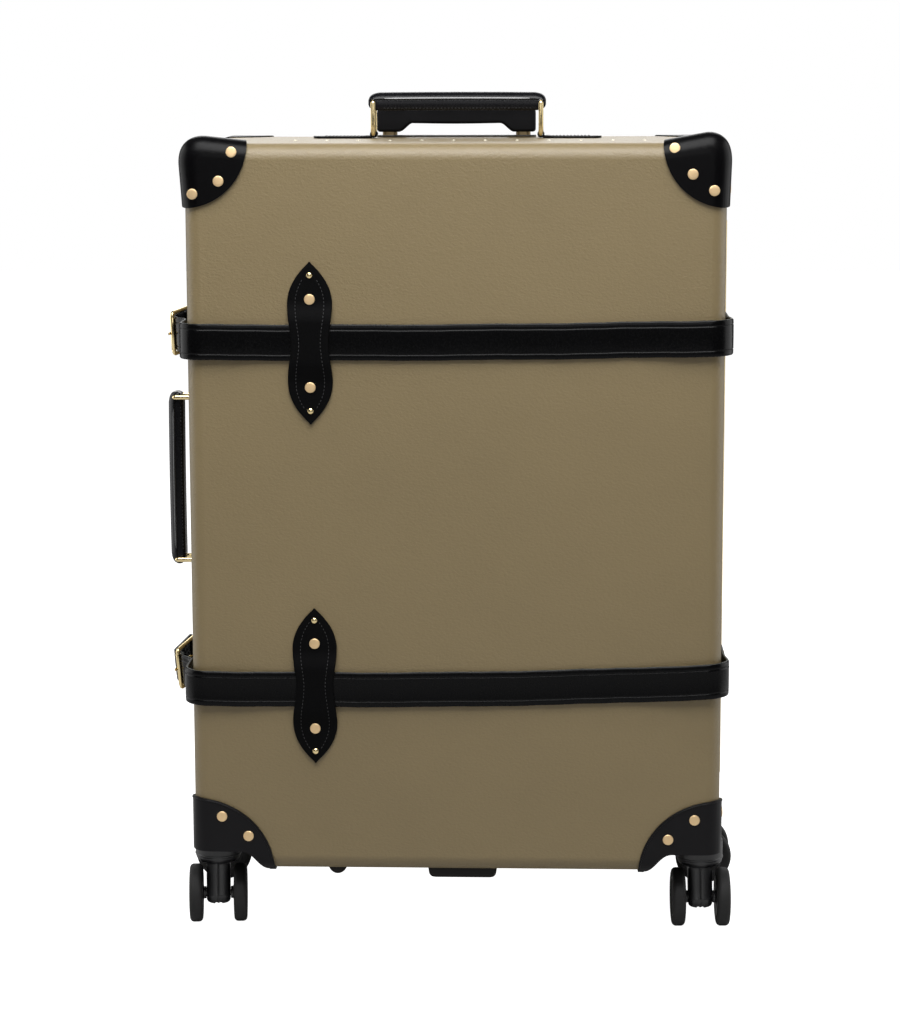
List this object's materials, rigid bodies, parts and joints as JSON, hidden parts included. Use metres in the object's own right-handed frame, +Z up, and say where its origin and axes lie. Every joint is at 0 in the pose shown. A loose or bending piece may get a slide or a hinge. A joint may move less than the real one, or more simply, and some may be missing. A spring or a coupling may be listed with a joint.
{
  "type": "suitcase",
  "caption": "Upright wheeled trunk suitcase with two fibreboard shells on a side hinge, buckled leather straps, ring handles, locks, swivelling casters and a pull-out trolley.",
  "frame": {"origin": "floor under the middle of the closed suitcase's outline", "axes": "+Z up, -Y out of the lid's front face, -X towards the buckles and the side handle"},
  "size_m": [0.589, 0.2918, 0.8281],
  "materials": {
    "fibreboard": "fine pebbled satin",
    "ash": "planed",
    "black_leather": "grained satin",
    "black_plastic": "moulded satin",
    "tyre": "matt",
    "brass": "polished",
    "bronze_tube": "bronze anodised",
    "rubber": "matt"
  },
  "bodies": {
    "case_base": {"base_shell": "fibreboard", "base_frame": "ash", "corner_cap_rear_left": "black_leather", "corner_cap_rear_right": "black_leather", "caster_housing_rear_left": "black_plastic", "caster_housing_rear_right": "black_plastic", "strap_rear_upper": "black_leather", "strap_rear_lower": "black_leather", "top_handle_chape_a": "black_leather", "top_handle_chape_b": "black_leather", "side_handle_chape_a": "black_leather", "side_handle_chape_b": "black_leather", "lock_case_upper": "brass", "lock_case_lower": "brass", "hinge_leaf_base": "brass", "hinge_pin": "brass", "trolley_bezel": "black_plastic", "trolley_sleeve_left": "bronze_tube", "trolley_sleeve_right": "bronze_tube"},
    "lid": {"lid_shell": "fibreboard", "lid_frame": "ash", "corner_cap_front_left": "black_leather", "corner_cap_front_right": "black_leather", "caster_housing_front_left": "black_plastic", "caster_housing_front_right": "black_plastic", "strap_front_upper": "black_leather", "strap_front_lower": "black_leather", "strap_tip_upper": "black_leather", "strap_tip_lower": "black_leather", "strap_loop_upper": "black_leather", "strap_loop_lower": "black_leather", "hinge_leaf_lid": "brass", "lock_catch_upper": "brass", "lock_catch_lower": "brass", "bottom_rest": "rubber", "bottom_foot": "rubber"},
    "caster_front_left": {"caster_fork_front_left": "black_plastic"},
    "wheels_front_left": {"wheel_set_front_left": "tyre"},
    "caster_front_right": {"caster_fork_front_right": "black_plastic"},
    "wheels_front_right": {"wheel_set_front_right": "tyre"},
    "caster_rear_left": {"caster_fork_rear_left": "black_plastic"},
    "wheels_rear_left": {"wheel_set_rear_left": "tyre"},
    "caster_rear_right": {"caster_fork_rear_right": "black_plastic"},
    "wheels_rear_right": {"wheel_set_rear_right": "tyre"},
    "top_ring_a": {"top_handle_ring_a": "brass"},
    "top_ring_b": {"top_handle_ring_b": "brass"},
    "top_grip": {"top_handle_grip": "black_leather"},
    "side_ring_a": {"side_handle_ring_a": "brass"},
    "side_ring_b": {"side_handle_ring_b": "brass"},
    "side_grip": {"side_handle_grip": "black_leather"},
    "buckle_upper": {"buckle_upper": "brass"},
    "prong_upper": {"buckle_prong_upper": "brass"},
    "lock_slide_upper": {"lock_slide_upper": "brass"},
    "buckle_lower": {"buckle_lower": "brass"},
    "prong_lower": {"buckle_prong_lower": "brass"},
    "lock_slide_lower": {"lock_slide_lower": "brass"},
    "trolley": {"trolley_tube_left": "bronze_tube", "trolley_tube_right": "bronze_tube", "trolley_pull": "black_plastic"},
    "trolley_button": {"trolley_button": "black_plastic"}
  },
  "joints": [
    {"name": "lid_hinge", "type": "hinge", "parent": "case_base", "child": "lid", "pos_m": [0.27358, -0.03855, 0.425], "axis": [0, 0, 1], "range_deg": [0, 100], "deforming": ["strap_tip_upper", "strap_tip_lower"]},
    {"name": "swivel_front_left", "type": "hinge", "parent": "lid", "child": "caster_front_left", "pos_m": [-0.23283, -0.07855, 0.0865], "axis": [0, 0, 1], "continuous": true},
    {"name": "roll_front_left", "type": "hinge", "parent": "caster_front_left", "child": "wheels_front_left", "pos_m": [-0.23187, -0.08951, 0.0293], "axis": [0.9962, 0.0872, 0], "continuous": true},
    {"name": "swivel_front_right", "type": "hinge", "parent": "lid", "child": "caster_front_right", "pos_m": [0.25417, -0.07855, 0.0865], "axis": [0, 0, 1], "continuous": true},
    {"name": "roll_front_right", "type": "hinge", "parent": "caster_front_right", "child": "wheels_front_right", "pos_m": [0.25456, -0.08954, 0.0293], "axis": [0.9994, 0.0349, 0], "continuous": true},
    {"name": "swivel_rear_left", "type": "hinge", "parent": "case_base", "child": "caster_rear_left", "pos_m": [-0.23283, 0.08145, 0.0865], "axis": [0, 0, 1], "continuous": true},
    {"name": "roll_rear_left", "type": "hinge", "parent": "caster_rear_left", "child": "wheels_rear_left", "pos_m": [-0.24382, 0.08145, 0.0293], "axis": [0, -1, 0], "continuous": true},
    {"name": "swivel_rear_right", "type": "hinge", "parent": "case_base", "child": "caster_rear_right", "pos_m": [0.25417, 0.08145, 0.0865], "axis": [0, 0, 1], "continuous": true},
    {"name": "roll_rear_right", "type": "hinge", "parent": "caster_rear_right", "child": "wheels_rear_right", "pos_m": [0.26517, 0.08145, 0.0293], "axis": [0, 1, 0], "continuous": true},
    {"name": "top_handle_swing", "type": "hinge", "parent": "case_base", "child": "top_ring_a", "pos_m": [-0.07833, 0.05145, 0.7872], "axis": [0, 1, 0], "range_deg": [-60, 60]},
    {"name": "top_handle_level", "type": "hinge", "parent": "top_ring_a", "child": "top_grip", "pos_m": [-0.07833, 0.05145, 0.8204], "axis": [0, 1, 0], "range_deg": [-60, 60]},
    {"name": "top_handle_swing_b", "type": "hinge", "parent": "case_base", "child": "top_ring_b", "pos_m": [0.09168, 0.05145, 0.7872], "axis": [0, 1, 0], "range_deg": [-60, 60]},
    {"name": "side_handle_swing", "type": "hinge", "parent": "case_base", "child": "side_ring_a", "pos_m": [-0.25353, 0.05145, 0.3485], "axis": [0, 1, 0], "range_deg": [-60, 60]},
    {"name": "side_handle_level", "type": "hinge", "parent": "side_ring_a", "child": "side_grip", "pos_m": [-0.28673, 0.05145, 0.3485], "axis": [0, 1, 0], "range_deg": [-60, 60]},
    {"name": "side_handle_swing_b", "type": "hinge", "parent": "case_base", "child": "side_ring_b", "pos_m": [-0.25353, 0.05145, 0.5185], "axis": [0, 1, 0], "range_deg": [-60, 60]},
    {"name": "buckle_swing_upper", "type": "hinge", "parent": "case_base", "child": "buckle_upper", "pos_m": [-0.25833, -0.03055, 0.598], "axis": [0.026, 0.0791, -0.9965], "range_deg": [0, 30], "deforming": ["strap_tip_upper"]},
    {"name": "prong_swing_upper", "type": "hinge", "parent": "buckle_upper", "child": "prong_upper", "pos_m": [-0.25833, -0.03055, 0.598], "axis": [0.026, 0.0791, -0.9965], "range_deg": [0, 60], "deforming": ["strap_tip_upper"]},
    {"name": "lock_push_upper", "type": "slide", "parent": "case_base", "child": "lock_slide_upper", "axis": [0, 0, -1], "range_m": [0, 0.006], "stiffness_N_per_m": 100, "springref_m": -0.002},
    {"name": "buckle_swing_lower", "type": "hinge", "parent": "case_base", "child": "buckle_lower", "pos_m": [-0.25833, -0.03055, 0.2625], "axis": [0.057, 0.1732, -0.9832], "range_deg": [0, 30], "deforming": ["strap_tip_lower"]},
    {"name": "prong_swing_lower", "type": "hinge", "parent": "buckle_lower", "child": "prong_lower", "pos_m": [-0.25833, -0.03055, 0.2625], "axis": [0.057, 0.1732, -0.9832], "range_deg": [0, 60], "deforming": ["strap_tip_lower"]},
    {"name": "lock_push_lower", "type": "slide", "parent": "case_base", "child": "lock_slide_lower", "axis": [0, 0, -1], "range_m": [0, 0.006], "stiffness_N_per_m": 100, "springref_m": -0.002},
    {"name": "trolley_pull_out", "type": "slide", "parent": "case_base", "child": "trolley", "axis": [0, 0, 1], "range_m": [0, 0.4]},
    {"name": "trolley_release", "type": "slide", "parent": "trolley", "child": "trolley_button", "axis": [0, 0, -1], "range_m": [0, 0.002], "stiffness_N_per_m": 300, "springref_m": -0.001}
  ],
  "couplings": [
    {"joint": "top_handle_level", "follows": "top_handle_swing", "ratio": -1},
    {"joint": "top_handle_swing_b", "follows": "top_handle_swing", "ratio": 1},
    {"joint": "side_handle_level", "follows": "side_handle_swing", "ratio": -1},
    {"joint": "side_handle_swing_b", "follows": "side_handle_swing", "ratio": 1}
  ]
}
